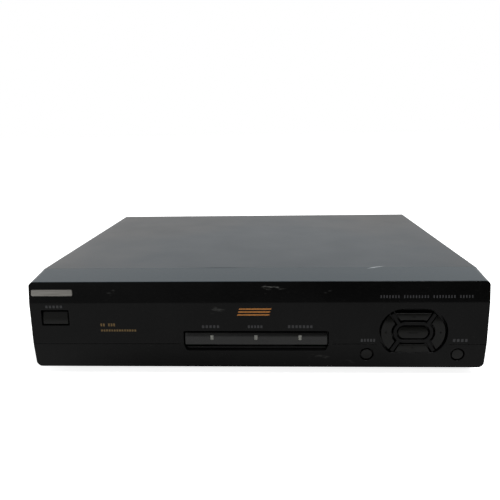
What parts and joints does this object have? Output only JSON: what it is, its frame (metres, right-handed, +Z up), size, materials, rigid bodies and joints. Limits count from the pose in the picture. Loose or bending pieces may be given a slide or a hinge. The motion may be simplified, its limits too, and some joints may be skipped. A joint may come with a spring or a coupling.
{
  "type": "satellite television receiver",
  "caption": "Low black set-top satellite television receiver with an oval button cluster, round and rectangular push buttons, a smoked indicator bar, a sheet-steel case and rear sockets.",
  "frame": {"origin": "on the table, below the middle of the overall box", "axes": "+X to the right seen from the front, +Y towards the back, +Z up; the front faces -Y"},
  "size_m": [0.3628, 0.3029, 0.083],
  "materials": {
    "painted_steel": "fine-textured charcoal paint, semi-matt",
    "zinc_steel": "zinc-plated sheet, dull",
    "black_plastic": "moulded ABS, satin",
    "key_plastic": "moulded ABS, fine matt",
    "smoked_plastic": "smoked acrylic, satin",
    "clear_plastic": "clear acrylic, frosted end faces",
    "badge_metal": "satin",
    "rubber": "moulded, matt",
    "black_screw": "black oxide",
    "circuit_board": "green solder mask on glass epoxy",
    "component_black": "moulded, matt",
    "tin_plate": "tin-plated sheet, bright",
    "core_steel": "varnished laminations",
    "sink_aluminium": "as extruded",
    "blue_sleeve": "shrunk plastic sleeve",
    "cable_grey": "flat ribbon, matt",
    "nickel": "nickel plate"
  },
  "bodies": {
    "receiver_case": {"top_cover": "painted_steel", "chassis_pan": "zinc_steel", "rear_panel": "painted_steel", "foot_front_left": "rubber", "foot_front_right": "rubber", "foot_rear_left": "rubber", "foot_rear_right": "rubber", "screw_left_front": "black_screw", "screw_left_rear": "black_screw", "screw_right_front": "black_screw", "screw_right_rear": "black_screw", "screw_back_left": "black_screw", "screw_back_right": "black_screw", "front_fascia": "black_plastic", "indicator_lens": "smoked_plastic", "light_guide": "clear_plastic", "blank_badge": "badge_metal", "front_board": "circuit_board", "led_1": "clear_plastic", "led_2": "clear_plastic", "led_3": "clear_plastic", "infrared_receiver": "component_black", "main_board": "circuit_board", "power_board": "circuit_board", "card_reader_tray": "component_black", "card_reader_lid": "tin_plate", "tuner_can": "tin_plate", "modulator_can": "tin_plate", "mains_transformer": "core_steel", "heat_sink": "sink_aluminium", "filter_capacitor": "blue_sleeve", "power_harness": "cable_grey", "front_ribbon": "cable_grey", "satellite_input": "nickel", "aerial_input": "nickel", "television_output": "nickel", "audio_right_jack": "nickel", "audio_left_jack": "nickel", "video_jack": "nickel", "av_jack_block": "component_black", "s_video_socket": "component_black", "telephone_socket": "component_black", "data_port": "tin_plate", "mains_gland": "rubber"},
    "power_key": {"power_button": "key_plastic", "power_plunger": "component_black"},
    "round_left_key": {"round_left_button": "key_plastic", "round_left_plunger": "component_black"},
    "round_right_key": {"round_right_button": "key_plastic", "round_right_plunger": "component_black"},
    "up_key": {"up_button": "key_plastic", "up_plunger": "component_black"},
    "down_key": {"down_button": "key_plastic", "down_plunger": "component_black"},
    "left_key": {"left_button": "key_plastic", "left_plunger": "component_black"},
    "right_key": {"right_button": "key_plastic", "right_plunger": "component_black"},
    "select_key": {"select_button": "key_plastic", "select_plunger": "component_black"}
  },
  "joints": [
    {"name": "power_press", "type": "slide", "parent": "receiver_case", "child": "power_key", "axis": [0, 1, 0], "range_m": [0, 0.0007], "stiffness_N_per_m": 1500},
    {"name": "round_left_press", "type": "slide", "parent": "receiver_case", "child": "round_left_key", "axis": [0, 1, 0], "range_m": [0, 0.0007], "stiffness_N_per_m": 1500},
    {"name": "round_right_press", "type": "slide", "parent": "receiver_case", "child": "round_right_key", "axis": [0, 1, 0], "range_m": [0, 0.0007], "stiffness_N_per_m": 1500},
    {"name": "up_press", "type": "slide", "parent": "receiver_case", "child": "up_key", "axis": [0, 1, 0], "range_m": [0, 0.0007], "stiffness_N_per_m": 1500},
    {"name": "down_press", "type": "slide", "parent": "receiver_case", "child": "down_key", "axis": [0, 1, 0], "range_m": [0, 0.0007], "stiffness_N_per_m": 1500},
    {"name": "left_press", "type": "slide", "parent": "receiver_case", "child": "left_key", "axis": [0, 1, 0], "range_m": [0, 0.0007], "stiffness_N_per_m": 1500},
    {"name": "right_press", "type": "slide", "parent": "receiver_case", "child": "right_key", "axis": [0, 1, 0], "range_m": [0, 0.0007], "stiffness_N_per_m": 1500},
    {"name": "select_press", "type": "slide", "parent": "receiver_case", "child": "select_key", "axis": [0, 1, 0], "range_m": [0, 0.0007], "stiffness_N_per_m": 1500}
  ]
}
